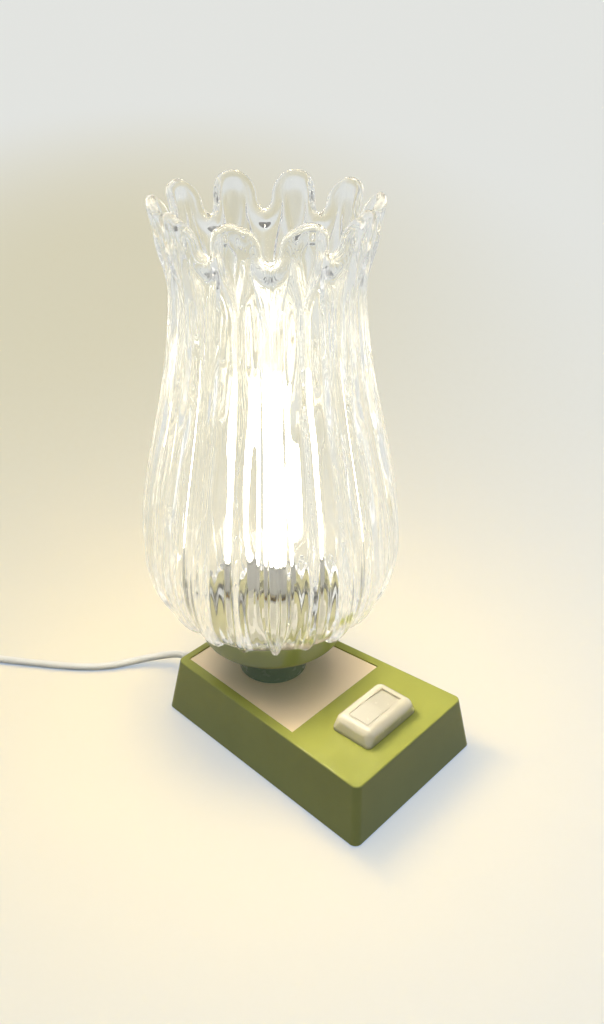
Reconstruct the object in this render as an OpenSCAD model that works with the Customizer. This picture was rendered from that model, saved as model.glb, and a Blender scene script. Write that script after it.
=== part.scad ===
// Table lamp: a pressed-glass tulip shade in a green dish, on a tapered moulded base with a rocker switch.
// Millimetres. Origin on the table under the middle of the base, +Y towards the lamp end, +Z up.

/* [Base] */
// Length of the base on the table
base_l = 170; // [150:1:190]
// Width of the base at the switch end
base_front_w = 115.5; // [106:0.5:130]
// Width of the base at the lamp end
base_rear_w = 92; // [88:0.5:104]
// Height of the top face above the table
base_h = 38.4; // [37:0.1:46]
// How far each side wall leans in
side_draft = 5.9; // [3:0.1:7]
// How far each end wall leans in
end_draft = 5.5; // [3:0.1:7]
// Radius of the upright corners
corner_r = 4.5; // [3.5:0.1:6]
// Radius of the top edge
edge_r = 1; // [0.8:0.1:2.5]
// Thickness of the walls
wall = 3; // [2.4:0.1:3.4]
// Thickness of the top
top_wall = 4.8; // [4:0.1:5.5]
// Height of the moulded rim above the table
rim_gap = 0.8; // [0.4:0.1:1]
// Thickness of the steel bottom plate
bottom_t = 2; // [1:0.1:2.5]
// Thickness of the felt under the base
felt_t = 1.5; // [1.4:0.1:2]
// Inset of the screw bosses from the foot of the walls
boss_inset = 13.5; // [13:0.1:16]

/* [Inset plate] */
// Length of the bronze plate
plate_l = 95.7; // [86:0.1:98]
// Thickness of the bronze plate
plate_t = 1; // [0.8:0.1:1.4]
// Depth of its face under the top of the base
plate_sink = 0.8; // [0.3:0.1:1]
// Width of the green border beside it
plate_border = 6.6; // [5:0.1:9]
// Width of the green border behind it
plate_rear_border = 5; // [4:0.1:8]

/* [Neck and dish] */
// Distance of the lamp axis behind the middle of the base
lamp_y = 32.5; // [28:0.5:36]
// Outer radius of the neck
neck_r = 21.5; // [19:0.1:24]
// Height of the neck
neck_h = 28.9; // [24:0.1:34]
// Wall of the neck
neck_wall = 2.5; // [2:0.1:3]
// Floor of the neck
neck_floor = 3; // [2:0.1:4]
// Outer radius of the dish
dish_r = 45; // [42:0.1:50]
// Height of the dish
dish_h = 18; // [16:0.1:20]
// Wall and floor of the dish
dish_wall = 2.5; // [2:0.1:3]
// Radius under the lower edge of the dish
dish_edge_r = 4; // [2.6:0.1:6]
// Thickness of the rubber ring under the glass
seat_t = 1.2; // [0.8:0.1:2.2]

/* [Glass shade] */
// Height of the glass from its foot to the petal tips
shade_h = 265.5; // [260:0.5:280]
// Height of the widest place above the foot
belly_h = 69; // [60:0.5:76]
// Outer radius of the wall at the widest place
belly_r = 74; // [70:0.1:80]
// Height of the waist above the foot
waist_h = 227; // [215:0.5:232]
// Outer radius of the wall at the waist
waist_r = 49.9; // [48:0.1:56]
// Outer radius of the wall at the petal tips
rim_r = 59.5; // [57:0.1:64]
// Thickness of the glass wall
glass_t = 3.2; // [2.8:0.1:4]
// Number of petals round the rim
petals = 10; // [8:1:12]
// Width of a petal at the rim
petal_w = 22.8; // [20:0.1:24]
// Height of a petal's arch
petal_h = 12; // [9:0.5:14]
// Depth of the hollow between two petals
hollow_h = 8; // [5:0.5:9]
// Radius of the rolled rim
roll_r = 2.7; // [2.2:0.1:3]
// Width of the rib between two petals at the rim
rib_w = 14; // [12:0.1:15]
// How far a rib stands out of the wall
rib_h = 2.6; // [1.5:0.1:3.2]
// How far the ridge down a petal stands out of its panel
ridge_h = 1.7; // [1:0.1:2.4]
// Direction of the first rib round the axis
rib_turn = 225; // [216:0.1:252]

/* [Lamp holder and bulb] */
// Outer radius of the lamp holder
holder_r = 14; // [13:0.1:15]
// Height of the lamp holder
holder_h = 53.4; // [50:0.1:58]
// Outer radius of the ring nut over the dish
ring_nut_r = 20; // [18:0.1:24]
// Height of the ring nut
ring_nut_h = 5; // [4:0.1:7]
// Outer radius of the threaded tube
tube_r = 5; // [4.6:0.1:5.4]
// Bore radius of the threaded tube
tube_bore_r = 4; // [3.6:0.1:4.2]
// Radius of the bulb's screw cap
cap_r = 6.9; // [6.5:0.1:7.2]
// Length of the bulb's screw cap
cap_h = 20; // [18:0.1:21]
// Radius of the bulb's housing
housing_r = 17.5; // [16:0.1:20]
// Height of the bulb's housing
housing_h = 28; // [24:0.1:30]
// Radius of the glowing tube of the bulb
bulb_r = 16.5; // [14:0.1:17]
// Length of the glowing tube of the bulb
bulb_l = 116; // [100:0.5:125]

/* [Switch] */
// Distance of the switch in front of the middle of the base
switch_back = 50.9; // [48:0.1:54]
// Length of the switch frame across the base
frame_l = 46.2; // [43:0.1:50]
// Width of the switch frame
frame_w = 28.4; // [26:0.1:30]
// Height of the switch frame
frame_h = 10.5; // [9.5:0.1:12]
// Width of the rocker
rocker_w = 14; // [12:0.1:15]
// Radius of the rocker's ends about its pin
rocker_r = 16.8; // [15:0.1:17]
// Tilt of the rocker each way
rocker_tilt = 3; // [2.5:0.5:6]
// Tilt of the contact lever each way
lever_tilt = 3; // [2.5:0.5:6]
// Depth of the switch body under the top of the base
switch_depth = 20.4; // [20:0.1:22]

/* [Cord] */
// Diameter of the round mains cord
cord_d = 5; // [4.6:0.1:5.2]
// Turns in each of the two layers of the coil
coil_turns = 3.6; // [3:0.1:4]
// Step between turns and between layers
coil_step = 5.5; // [5.5:0.1:6]
// Inner radius of the coil at the middle of the cord
coil_in_r = 20.5; // [20.5:0.5:24]
// Width of a coil tie
tie_w = 6; // [4:0.5:10]
// Length of the plug body
plug_l = 35; // [32:0.5:40]
// Width of the plug body
plug_w = 35; // [32:0.5:37]
// Thickness of the plug body
plug_t = 13.5; // [12:0.1:15]

/* [Hidden] */

$fn = 64;
eps = 0.01;

// Clearances
fit = 0.05;       // pieces that are pushed or screwed together
slip = 0.3;       // pieces that lift out or pass each other
plate_gap = 0.3;  // gap round the inset plate
cover_gap = 0.8;  // gap round the bottom plate and the felt
rocker_gap = 0.4; // gap beside the rocker

// Heights
ceiling_z = base_h - top_wall;
plate_top_z = base_h - plate_sink;
plate_z = plate_top_z - plate_t;
bottom_z = felt_t;
cover_z = bottom_z + bottom_t;
dish_z = plate_top_z + neck_h;
dish_floor_z = dish_z + dish_wall;
dish_rim_z = dish_z + dish_h;
shade_z = dish_floor_z + seat_t + slip;

// Plan of the base: half its width on the table at a place along it
function half_w(y) = base_front_w / 2 + (base_rear_w - base_front_w) / 2 * (y / base_l + 0.5);
function lean(z) = (z - rim_gap) / (base_h - rim_gap);
function corners(inset_x, inset_y) = [for (c = [[-1, -1], [1, -1], [1, 1], [-1, 1]])
    let (y = c[1] * (base_l / 2 - inset_y)) [c[0] * (half_w(y) - inset_x), y]];
function walls_at(z, inset) = corners(side_draft * lean(z) + inset, end_draft * lean(z) + inset);

base_green = [0.50, 0.52, 0.16];
dark_green = [0.30, 0.36, 0.16];
bronze = [0.78, 0.64, 0.47];
cream = [0.95, 0.92, 0.82];
steel = [0.72, 0.72, 0.70];
brass = [0.80, 0.66, 0.32];
black = [0.08, 0.08, 0.08];
white = [0.93, 0.93, 0.90];

// Base

boss_r = 4;
inner_r = 1;
screw_r = 1.5;
screw_hole_r = screw_r + 0.2;
screw_head_r = 2.75;
screw_head_h = 1.1;
screw_l = 12;
cord_x = -14;
cord_z = 13;
cord_r = cord_d / 2;
rear_y = base_l / 2;
grommet_r = cord_r + 2.2;
flange_r = grommet_r + 2.6;
flange_t = 2;
spot_y = rear_y - end_draft * lean(cord_z + flange_r) - 0.1;
inner_flange_y = rear_y - end_draft * lean(cord_z + flange_r) - wall - 1.1;
clamp_y = inner_flange_y - 12;
clamp_pitch = 8;
clamp_top_z = cord_z + cord_r;
cutout_l = 2 * rocker_r + 2 * rocker_gap + 4;
cutout_w = rocker_w + 2 * rocker_gap + 4;

module prism(points, z, h) translate([0, 0, z]) linear_extrude(h) polygon(points);

module at_lamp(z) translate([0, lamp_y, z]) children();

function screw_places() = corners(boss_inset, boss_inset);

module base_shell() color(base_green) {
    difference() {
        union() {
            difference() {
                hull() {
                    for (c = corners(corner_r, corner_r)) translate([c[0], c[1], rim_gap])
                        cylinder(r = corner_r, h = eps, $fn = 32);
                    for (c = walls_at(base_h, corner_r)) translate([c[0], c[1], base_h - edge_r])
                        rotate_extrude($fn = 32) translate([corner_r - edge_r, 0]) circle(edge_r, $fn = 24);
                }
                hull() {
                    for (c = walls_at(0, wall + inner_r)) translate([c[0], c[1], 0])
                        cylinder(r = inner_r, h = eps, $fn = 16);
                    for (c = walls_at(ceiling_z, wall + inner_r)) translate([c[0], c[1], ceiling_z - eps])
                        cylinder(r = inner_r, h = eps, $fn = 16);
                }
            }
            for (c = screw_places()) translate([c[0], c[1], cover_z])
                cylinder(r = boss_r, h = ceiling_z - cover_z + 1);
            for (s = [-1, 1]) translate([cord_x + s * clamp_pitch, clamp_y, clamp_top_z])
                cylinder(r = boss_r - 0.5, h = ceiling_z - clamp_top_z + 1);
            translate([cord_x - clamp_pitch, clamp_y - 2, clamp_top_z + fit])
                cube([2 * clamp_pitch, 4, ceiling_z - clamp_top_z + 1]);
        }
        prism(plate_outline(plate_border - plate_gap, plate_gap), plate_z, base_h);
        at_lamp(0) cylinder(r = tube_r + slip, h = base_h);
        translate([-cutout_l / 2 - slip, -switch_back - cutout_w / 2 - slip, 0])
            cube([cutout_l + 2 * slip, cutout_w + 2 * slip, base_h + 1]);
        for (c = screw_places()) translate([c[0], c[1], 0])
            cylinder(r = screw_r + fit, h = cover_z + screw_l);
        for (s = [-1, 1]) translate([cord_x + s * clamp_pitch, clamp_y, 0])
            cylinder(r = screw_r + fit, h = clamp_top_z + screw_l - 2);
        translate([cord_x, spot_y, cord_z]) rotate([-90, 0, 0]) cylinder(r = flange_r + slip, h = 20);
        translate([cord_x, spot_y - 10, cord_z]) rotate([-90, 0, 0]) cylinder(r = grommet_r + fit, h = 20);
    }
}

module bottom_plate() color(steel) difference() {
    prism(walls_at(bottom_z, wall + cover_gap), bottom_z, bottom_t);
    for (c = screw_places()) translate([c[0], c[1], 0]) cylinder(r = screw_hole_r, h = cover_z + 1);
}

module base_felt() color([0.16, 0.20, 0.12]) difference() {
    prism(walls_at(0, wall + 2 * cover_gap), 0, felt_t);
    for (c = screw_places()) translate([c[0], c[1], -1]) cylinder(r = screw_head_r + 1.2, h = felt_t + 2);
}

module screw(length) {
    translate([0, 0, -screw_head_h]) difference() {
        cylinder(r = screw_head_r, h = screw_head_h);
        for (a = [0, 90]) rotate(a) translate([-1.6, -0.3, -1]) cube([3.2, 0.6, 1.6]);
    }
    cylinder(r = screw_r, h = length);
}

module bottom_screws() color(steel) for (c = screw_places()) translate([c[0], c[1], bottom_z])
    screw(bottom_t + screw_l - 1);

// Inset plate: it follows the taper of the base

plate_rear_y = rear_y - end_draft - plate_rear_border;
function plate_outline(border, grow) = [for (c = [[-1, 0], [1, 0], [1, 1], [-1, 1]])
    let (y = plate_rear_y + grow - (1 - c[1]) * (plate_l + 2 * grow))
    [c[0] * (half_w(y) - side_draft - border), y]];

module inset_plate() color(bronze) difference() {
    prism(plate_outline(plate_border, 0), plate_z, plate_t);
    at_lamp(0) cylinder(r = tube_r + slip, h = base_h);
}

// Neck and dish

module neck_sleeve() color(dark_green) at_lamp(plate_top_z) difference() {
    cylinder(r = neck_r, h = neck_h);
    translate([0, 0, neck_floor]) cylinder(r = neck_r - neck_wall, h = neck_h);
    translate([0, 0, -1]) cylinder(r = tube_r + slip, h = neck_h);
}

module shade_dish() color(base_green) at_lamp(dish_z) rotate_extrude() difference() {
    union() {
        translate([0, dish_edge_r]) square([dish_r, dish_h - dish_edge_r - dish_wall / 2]);
        square([dish_r - dish_edge_r, dish_edge_r + 1]);
        translate([dish_r - dish_edge_r, dish_edge_r]) circle(dish_edge_r);
        translate([dish_r - dish_wall / 2, dish_h - dish_wall / 2]) circle(dish_wall / 2);
    }
    translate([0, dish_wall]) square([dish_r - dish_wall, dish_h]);
    translate([0, -1]) square([holder_r + fit, dish_h]);
}

module seat_ring() color([0.20, 0.20, 0.19]) at_lamp(dish_floor_z) difference() {
    cylinder(r = foot_r, h = seat_t);
    translate([0, 0, -1]) cylinder(r = foot_r - glass_t - 1.5, h = seat_t + 2);
}

// Glass shade: three stretches of outline, with a rolled rim of petals, fluted between ribs

foot_gap = 1;
foot_over = 0.6;
foot_r = dish_r - dish_wall - foot_gap;
foot_top_z = dish_rim_z + foot_over;
belly_z = shade_z + belly_h;
waist_z = shade_z + waist_h;
tip_z = shade_z + shade_h;
bowl_power = 2;
shoulder_power = 0.88;
flare_z = waist_z - 12.5;
flare_h = tip_z - 1 - flare_z;
pattern_rise = 5;
half_pitch = 180 / petals;
pitch_w = PI * rim_r / petals;
panel_share = 1 - rib_w / (2 * pitch_w);
panel_crown = 0.6;
ridge_w = 2.4;
ridge_spread = 0.36 * petal_w;
fan_z = waist_z - 11.5;
side_z = tip_z - roll_r - petal_h;
gather = 1.7;
rim_lean = 20;
rim_pinch = 9;
roll_reach = 5.5;
pattern_fade = 15;

function clamp01(x) = max(0, min(1, x));
function ease(x) = let (c = clamp01(x)) c * c * (3 - 2 * c);
function bowl_r(z) = foot_r + (belly_r - foot_r)
    * sqrt(1 - pow((belly_z - z) / (belly_z - foot_top_z), bowl_power));
function shoulder_r(z) = waist_r + (belly_r - waist_r)
    * (1 + cos(180 * pow((z - belly_z) / (waist_z - belly_z), shoulder_power))) / 2;
function flare(z) = ease((z - flare_z) / flare_h);
function glass_r(z) = z <= foot_top_z ? foot_r : z <= belly_z ? bowl_r(z) :
    (z <= waist_z ? shoulder_r(z) : waist_r) + (rim_r - waist_r) * flare(z);

// A column is numbered 0 at the middle of a petal, 1 where its panel meets the rib and 2 at the rib's middle
function on_panel(k) = abs(k) < 1;
function column_w(k) = pitch_w * (panel_share * min(abs(k), 1) + (1 - panel_share) * clamp01(abs(k) - 1));
function rim_angle(k) = 90 * (on_panel(k) ? abs(k) : abs(k) - 1);
function rim_dir(k) = let (a = rim_angle(k)) on_panel(k) ? [sin(a), cos(a)] : [cos(a), sin(a)];
function roll(k) = roll_r + gather * ease(abs(k) - 1);
function rim_line(k) = let (a = rim_angle(k)) on_panel(k) ?
    [petal_w / 2 * sin(a), side_z + petal_h * cos(a)] :
    [pitch_w - (pitch_w - petal_w / 2) * cos(a), side_z - hollow_h * sin(a)];
function rim_place(k) = rim_line(k) - [0, roll(k) - roll_r];

// Each column rises from the fan's height in a curve that meets the rim square
function fan_place(k, t) = let (w = column_w(k), to = rim_place(k), dir = rim_lean * rim_dir(k),
        start = t * (1 - t) * (1 - t), step = t * t * (3 - 2 * t), end = t * t * (t - 1))
    [w + (to[0] - w) * step + dir[0] * end, fan_z + (to[1] - fan_z) * (start + step) + dir[1] * end];
function to_rim(k, t) = (1 - t) * norm(rim_place(k) - [column_w(k), fan_z]);

function ridge(w, z) = let (apart = ridge_spread * ease((z - fan_z) / (side_z - fan_z)))
    ridge_h * exp(-pow((w - apart) / ridge_w, 2));
function relief(k, w, z) = on_panel(k) ? panel_crown * (1 - pow(abs(k), 2.5)) + ridge(w, z) :
    rib_h * (1 - pow(2 - abs(k), 3));
function wall_half(k, left) = glass_t / 2 + (roll(k) - glass_t / 2) * exp(-pow(left / roll_reach, 2));
function wall_middle(w, z) = glass_r(z) - glass_t / 2
    - rim_pinch * ease(1.3 * w / pitch_w - 0.3) * flare(z);
function pattern(k, w, z, left) = relief(k, w, z) * ease((z - foot_top_z) / pattern_rise)
    * ease(left / pattern_fade);
function outside(k, w, z, left) = [w, wall_middle(w, z) + wall_half(k, left) + pattern(k, w, z, left), z];
function inside(k, w, z, left) = [w, wall_middle(w, z) - wall_half(k, left), z];
function rolled(k, a) = let (p = rim_place(k), dir = roll(k) * sin(a) * rim_dir(k))
    [p[0] + dir[0], wall_middle(p[0], p[1]) + roll(k) * cos(a), p[1] + dir[1]];

panel_columns = [0.2, 0.42, 0.7, 1];
rib_column = 1.4;
petal_columns = concat([-2, -rib_column], [for (i = [3 : -1 : 0]) -panel_columns[i]], [0], panel_columns,
    [rib_column]);
bowl_rows = [for (a = [0 : 15 : 75]) belly_z - (belly_z - foot_top_z) * cos(a)];
shoulder_rows = [for (i = [0 : 6]) belly_z + (fan_z - belly_z) * i / 7];
low_rows = concat([shade_z], bowl_rows, shoulder_rows);
low_inner_rows = concat([for (i = [5 : -2 : 1]) shoulder_rows[i]], [belly_z],
    [for (i = [4 : -1 : 1]) bowl_rows[i]], [foot_top_z + 1, shade_z]);
fan_steps = [0, 0.25, 0.5, 0.7, 0.85, 1];
fan_inner_steps = [1, 0.85, 0.6, 0.3, 0];
far_off = 99;

function fan_point(k, t, outer) = let (q = fan_place(k, t))
    outer ? outside(k, q[0], q[1], to_rim(k, t)) : inside(k, q[0], q[1], to_rim(k, t));
function section(k) = concat([for (z = low_rows) outside(k, column_w(k), z, far_off)],
    [for (t = fan_steps) fan_point(k, t, true)], [for (a = [45, 90, 135]) rolled(k, a)],
    [for (t = fan_inner_steps) fan_point(k, t, false)],
    [for (z = low_inner_rows) inside(k, column_w(k), z, far_off)]);
function glass_point(petal, k, q) = let (side = k < 0 ? -1 : 1,
        a = rib_turn + (2 * petal + 1 + side * q[0] / pitch_w) * half_pitch)
    [q[1] * cos(a), q[1] * sin(a), q[2]];

module glass_shade() color([0.93, 0.93, 0.88, 0.45]) at_lamp(0) {
    sections = [for (k = petal_columns) section(k)];
    steps = len(petal_columns);
    rows = len(sections[0]);
    n = petals * steps;
    points = [for (petal = [0 : petals - 1], i = [0 : steps - 1], q = sections[i])
        glass_point(petal, petal_columns[i], q)];
    faces = [for (j = [0 : n - 1], i = [0 : rows - 1])
        let (a = j * rows, b = ((j + 1) % n) * rows, up = (i + 1) % rows)
        each [[a + i, a + up, b + up], [a + i, b + up, b + i]]];
    polyhedron(points, faces, convexity = 12);
}

// Threaded tube with its nut, and the lamp holder on it

holder_z = plate_top_z + neck_floor;
holder_split = 16;
holder_floor = 10;
holder_step = 0.6;
holder_bore_r = holder_r - 2.6;
tube_low_z = ceiling_z - 11;
tube_top_z = holder_z + 9;
washer_t = 1.2;
nut_t = 4;
nut_r = 9;
cap_z = holder_z + holder_h - cap_h + 1;
sleeve_wall = 0.8;
sleeve_r = cap_r + slip + sleeve_wall;
sleeve_z = cap_z - 4.5;
insert_z = holder_z + holder_split + 2;
contact_h = 1.4;
contact_gap = 0.3;
insulator_h = 2;
cap_tip_h = 0.9;
cap_tip_r = 2;
cap_tip_z = cap_z - insulator_h + 0.4 - cap_tip_h;

module threaded_tube() color(steel) at_lamp(tube_low_z) difference() {
    cylinder(r = tube_r, h = tube_top_z - tube_low_z);
    translate([0, 0, -1]) cylinder(r = tube_bore_r, h = tube_top_z - tube_low_z + 2);
}

module tube_washer() color(steel) at_lamp(ceiling_z - washer_t) difference() {
    cylinder(r = nut_r + 1.5, h = washer_t);
    translate([0, 0, -1]) cylinder(r = tube_r + slip, h = washer_t + 2);
}

module tube_nut() color(steel) at_lamp(ceiling_z - washer_t - nut_t) difference() {
    cylinder(r = nut_r, h = nut_t, $fn = 6);
    translate([0, 0, -1]) cylinder(r = tube_r + fit, h = nut_t + 2);
}

module holder_base() color(white) at_lamp(holder_z) difference() {
    cylinder(r = holder_r - holder_step, h = holder_split);
    translate([0, 0, holder_floor]) cylinder(r = holder_bore_r, h = holder_split);
    translate([0, 0, -1]) cylinder(r = tube_r + fit, h = holder_split);
}

module holder_shell() color(white) at_lamp(holder_z + holder_split) difference() {
    cylinder(r = holder_r, h = holder_h - holder_split);
    translate([0, 0, -1]) cylinder(r = holder_bore_r, h = holder_h);
}

module holder_insert() color(white) at_lamp(insert_z) difference() {
    cylinder(r = holder_bore_r - fit, h = sleeve_z - insert_z);
    for (s = [-1, 1]) translate([s * 6, 0, -1]) cylinder(r = 1.2, h = sleeve_z);
}

module screw_sleeve() color(brass) at_lamp(sleeve_z) difference() {
    cylinder(r = sleeve_r, h = holder_z + holder_h - 1 - sleeve_z);
    translate([0, 0, -1]) cylinder(r = cap_r + slip, h = holder_h);
}

module centre_contact() color(brass) at_lamp(sleeve_z) {
    translate([-2, -4.5, 0]) cube([4, 9, 0.5]);
    cylinder(r = 1.6, h = cap_tip_z - contact_gap - sleeve_z);
}

module ring_nut() color(white) at_lamp(dish_floor_z) difference() {
    cylinder(r = ring_nut_r, h = ring_nut_h);
    translate([0, 0, -1]) cylinder(r = holder_r + fit, h = ring_nut_h + 2);
    for (a = [0 : 15 : 345]) rotate(a) translate([ring_nut_r + 0.6, 0, 1.5])
        cylinder(r = 1.2, h = ring_nut_h);
}

// Bulb: a glowing tube with a domed end on a housing with a screw cap

housing_z = cap_z + cap_h;
bulb_z = housing_z + housing_h;
housing_neck_h = 8;

module bulb_tube() color([1, 0.99, 0.95]) at_lamp(bulb_z) {
    cylinder(r = bulb_r, h = bulb_l - bulb_r);
    translate([0, 0, bulb_l - bulb_r]) intersection() {
        sphere(bulb_r);
        translate([0, 0, bulb_r]) cube(2 * bulb_r, center = true);
    }
}

module bulb_housing() color([0.78, 0.78, 0.76]) at_lamp(housing_z) {
    cylinder(r1 = cap_r + 1.5, r2 = housing_r, h = housing_neck_h);
    translate([0, 0, housing_neck_h]) cylinder(r = housing_r, h = housing_h - housing_neck_h);
}

module bulb_cap() color(steel) at_lamp(cap_z) rotate_extrude() difference() {
    square([cap_r, cap_h]);
    for (z = [2.4 : 2.8 : cap_h - 6]) translate([cap_r + 0.5, z]) circle(1, $fn = 24);
}

module cap_insulator() color(black) at_lamp(cap_z - insulator_h) difference() {
    cylinder(r1 = cap_r - 3, r2 = cap_r - 0.6, h = insulator_h);
    translate([0, 0, -1]) cylinder(r = cap_tip_r + fit, h = 1.4);
}

module cap_contact() color(steel) at_lamp(cap_tip_z) cylinder(r = cap_tip_r, h = cap_tip_h);

// Switch: frame and body in the base, rocker on a pin, sprung plunger on a contact lever

frame_round = 5.5;
frame_corner = 3;
frame_lean = 0.8;
pin_r = 1.2;
rocker_rise = 6.4;
pin_z = base_h + frame_h - rocker_rise;
pin_end = frame_w / 2 - 2.4;
rocker_skin = 1.6;
slot_w = rocker_w + 2 * rocker_gap;
body_wall = 1.6;
body_z = base_h - switch_depth;
plunger_r = 1.6;
plunger_boss_r = 3.2;
plunger_tip = 11;
plunger_top = 5.2;
lever_l = 9;
lever_w = 5;
lever_t = 0.8;
lever_pin_r = 0.8;
lever_hub_r = 1.6;
lever_gap = 0.4;
lever_rise = 1.25;
lever_z = pin_z - plunger_tip - lever_gap - lever_t - lever_rise;
blade_t = 0.8;
blade_w = 4;
blade_low_z = 8;
contact_x = -(lever_l - 1);

module at_switch(z) translate([0, -switch_back, z]) children();
module across(r, length) rotate([90, 0, 0]) cylinder(r = r, h = length, center = true);

module switch_frame() color(cream) difference() {
    at_switch(0) hull() for (sx = [-1, 1], sy = [-1, 1]) {
        translate([sx * (frame_l / 2 - frame_corner), sy * (frame_w / 2 - frame_corner), base_h])
            cylinder(r = frame_corner, h = 2, $fn = 32);
        translate([sx * (frame_l / 2 - frame_round - frame_lean), sy * (frame_w / 2 - frame_round),
            base_h + frame_h - frame_round]) intersection() {
                sphere(frame_round, $fn = 32);
                translate([0, 0, frame_round / 2])
                    cube([3 * frame_round, 3 * frame_round, frame_round], center = true);
            }
    }
    at_switch(pin_z) across(rocker_r + rocker_gap, slot_w);
    at_switch(pin_z) across(pin_r + fit, 2 * pin_end);
}

module switch_body() color(black) difference() {
    at_switch(body_z) translate([-cutout_l / 2, -cutout_w / 2, 0]) cube([cutout_l, cutout_w, switch_depth]);
    at_switch(body_z + body_wall) translate([body_wall - cutout_l / 2, body_wall - cutout_w / 2, 0])
        cube([cutout_l - 2 * body_wall, cutout_w - 2 * body_wall, switch_depth]);
    for (x = [0, contact_x]) at_switch(0) translate([x - blade_t / 2 - fit, -blade_w / 2 - fit, 0])
        cube([blade_t + 2 * fit, blade_w + 2 * fit, base_h]);
}

// Outline of the rocker across its pin: two slopes that meet over the pin
function roof(drop) = let (reach = 2 * rocker_r, apex = rocker_rise / cos(rocker_tilt) - drop)
    [[-reach, -2.5], [reach, -2.5], [reach, apex - reach * tan(rocker_tilt)], [0, apex],
    [-reach, apex - reach * tan(rocker_tilt)]];

module roof_drum(drop, r, w) intersection() {
    rotate([90, 0, 0]) translate([0, 0, -w / 2]) linear_extrude(w) polygon(roof(drop));
    across(r, w);
}

module on_rocker() at_switch(pin_z) rotate([0, rocker_tilt, 0]) children();

module switch_rocker() color(cream) on_rocker() difference() {
    union() {
        difference() {
            roof_drum(0, rocker_r, rocker_w);
            translate([0, 0, -0.1])
                roof_drum(rocker_skin, rocker_r - rocker_skin, rocker_w - 2 * rocker_skin);
        }
        across(3, rocker_w - rocker_skin);
        translate([0, 0, -plunger_top - 1.8]) cylinder(r = plunger_boss_r, h = plunger_top + 1.8);
    }
    across(pin_r + 0.06, 2 * rocker_w);
    translate([0, 0, -plunger_top - 3]) cylinder(r = plunger_r + 0.15, h = plunger_top + 0.8);
}

module rocker_pin() color(steel) at_switch(pin_z) across(pin_r, 2 * pin_end - 0.4);

module rocker_plunger() color(brass) on_rocker() {
    translate([0, 0, plunger_r - plunger_tip])
        cylinder(r = plunger_r, h = plunger_tip - plunger_r - plunger_top);
    translate([0, 0, plunger_r - plunger_tip]) sphere(plunger_r);
}

spring_wire_r = 0.2;
spring_r = 1.25;
spring_curls = 3;
spring_h = plunger_top - 2.2 - 2 * spring_wire_r - 0.1;

spring_steps = 8 * spring_curls;
spring_z = spring_wire_r + fit - plunger_top;

spring_line = [for (i = [0 : spring_steps])
    [spring_r * cos(45 * i), spring_r * sin(45 * i), spring_z + spring_h * i / spring_steps]];

module plunger_spring() color(steel) on_rocker() tube(spring_line, spring_wire_r, 6);

module contact_lever() color(brass) at_switch(lever_z) rotate([0, -lever_tilt, 0]) difference() {
    union() {
        translate([-lever_l, -lever_w / 2, lever_rise]) cube([2 * lever_l, lever_w, lever_t]);
        across(lever_hub_r, lever_w);
    }
    across(lever_pin_r + 0.06, 2 * lever_w);
}

module lever_bracket() color(brass) {
    at_switch(body_z + body_wall) translate([-2, -lever_w / 2 - 1.3, 0]) cube([4, lever_w + 2.6, 0.8]);
    for (s = [-1, 1]) at_switch(body_z + body_wall) translate([-2, s * (lever_w / 2 + 0.9) - 0.4, 0])
        cube([4, 0.8, lever_z - body_z - body_wall + 1.2]);
    at_switch(lever_z) across(lever_pin_r, lever_w + 2.2);
    at_switch(blade_low_z) translate([-blade_t / 2, -blade_w / 2, 0])
        cube([blade_t, blade_w, body_z + body_wall - blade_low_z + 0.4]);
}

contact_top_z = lever_z + lever_rise * cos(lever_tilt) + contact_x * sin(lever_tilt) - 0.35;

module fixed_contact() color(brass) {
    at_switch(blade_low_z) translate([contact_x - blade_t / 2, -blade_w / 2, 0])
        cube([blade_t, blade_w, contact_top_z - 1 - blade_low_z]);
    at_switch(contact_top_z - 1) translate([contact_x, 0, 0]) cylinder(r = 1.5, h = 1);
}

// Cord inlet: moulded grommet, clamp and the leads inside

grommet_l = 20;
cord_seam = 4;
inner_flange_t = 1.6;
cord_inner_y = clamp_y - 9;
clamp_bar = 3;

module grommet_profile() polygon([[cord_r + fit, inner_flange_y - inner_flange_t - spot_y],
    [grommet_r + 1.2, inner_flange_y - inner_flange_t - spot_y], [grommet_r + 1.2, inner_flange_y - spot_y],
    [grommet_r, inner_flange_y - spot_y], [grommet_r, 0], [flange_r, 0], [flange_r, flange_t],
    [grommet_r, flange_t + 0.8], [cord_r + 0.9, grommet_l], [cord_r + fit, grommet_l]]);

module cord_grommet() color(white) translate([cord_x, spot_y, cord_z]) rotate([-90, 0, 0])
    rotate_extrude() grommet_profile();

module cord_inner() color(white) translate([cord_x, cord_inner_y, cord_z]) rotate([-90, 0, 0])
    cylinder(r = cord_r, h = spot_y + grommet_l - cord_seam - cord_inner_y);

module cord_clamp() color(white) difference() {
    translate([cord_x - clamp_pitch - boss_r, clamp_y - 4, cord_z - cord_r - clamp_bar])
        cube([2 * (clamp_pitch + boss_r), 8, clamp_bar + cord_d]);
    translate([cord_x - cord_r - slip, clamp_y - 5, cord_z - cord_r - fit])
        cube([cord_d + 2 * slip, 10, cord_d + 1]);
    for (s = [-1, 1]) translate([cord_x + s * clamp_pitch, clamp_y, 0])
        cylinder(r = screw_hole_r, h = base_h);
}

module clamp_screws() color(steel) for (s = [-1, 1])
    translate([cord_x + s * clamp_pitch, clamp_y, cord_z - cord_r - clamp_bar])
        screw(clamp_bar + cord_d + screw_l - 3);

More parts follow.
